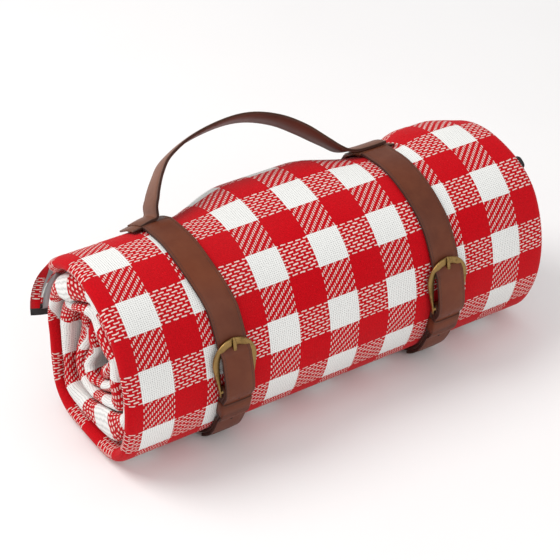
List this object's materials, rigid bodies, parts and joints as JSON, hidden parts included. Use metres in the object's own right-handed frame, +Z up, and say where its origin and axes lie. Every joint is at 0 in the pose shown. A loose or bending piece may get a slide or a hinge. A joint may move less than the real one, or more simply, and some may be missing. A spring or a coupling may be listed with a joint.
{
  "type": "rolled picnic blanket in leather carrier",
  "caption": "Gingham picnic blanket rolled up in a leather carrier: two strap-and-buckle bands joined by an arched carrying handle.",
  "frame": {"origin": "middle of the object's box, on the surface that its straps stand on", "axes": "+X along the roll, -Y is the side with the buckles, +Z up"},
  "size_m": [0.424, 0.1832, 0.2339],
  "materials": {
    "gingham": "woven red and white gingham, matt",
    "wadding": "soft polyester wadding",
    "backing": "black waterproof film, low sheen",
    "binding": "black woven tape",
    "leather": "smooth brown leather, satin, dark edges, tonal stitching",
    "lining": "reddish brown leather lining, low sheen",
    "brass": "antique brass, worn bright on its raised edges"
  },
  "bodies": {
    "carrier": {"strap_left": "leather", "strap_lining_left": "lining", "keeper_left": "leather", "handle_loop_left": "leather", "strap_right": "leather", "strap_lining_right": "lining", "keeper_right": "leather", "handle_loop_right": "leather"},
    "blanket": {"blanket_cloth": "gingham", "blanket_wadding": "wadding", "blanket_backing": "backing", "blanket_inner_fold": "gingham", "blanket_binding": "binding"},
    "handle": {"handle_strip": "leather", "handle_lining": "lining"},
    "buckle_left": {"buckle_frame_left": "brass"},
    "prong_left": {"buckle_prong_left": "brass"},
    "buckle_right": {"buckle_frame_right": "brass"},
    "prong_right": {"buckle_prong_right": "brass"}
  },
  "joints": [
    {"name": "blanket_slide", "type": "slide", "parent": "carrier", "child": "blanket", "axis": [-1, 0, 0], "range_m": [0, 0.43]},
    {"name": "handle_fold", "type": "hinge", "parent": "carrier", "child": "handle", "pos_m": [-0.005, 0.04717, 0.18671], "axis": [1, 0, 0], "range_deg": [-60, 85]},
    {"name": "buckle_left_tilt", "type": "hinge", "parent": "carrier", "child": "buckle_left", "pos_m": [-0.1135, -0.08378, 0.07455], "axis": [1, 0, 0], "range_deg": [0, 4]},
    {"name": "prong_left_swing", "type": "hinge", "parent": "carrier", "child": "prong_left", "pos_m": [-0.1135, -0.08378, 0.07455], "axis": [1, 0, 0], "range_deg": [0, 4]},
    {"name": "buckle_right_tilt", "type": "hinge", "parent": "carrier", "child": "buckle_right", "pos_m": [0.1035, -0.08378, 0.07455], "axis": [1, 0, 0], "range_deg": [0, 4]},
    {"name": "prong_right_swing", "type": "hinge", "parent": "carrier", "child": "prong_right", "pos_m": [0.1035, -0.08378, 0.07455], "axis": [1, 0, 0], "range_deg": [0, 4]}
  ],
  "couplings": [
    {"joint": "prong_left_swing", "follows": "buckle_left_tilt", "ratio": 1},
    {"joint": "prong_right_swing", "follows": "buckle_right_tilt", "ratio": 1}
  ]
}
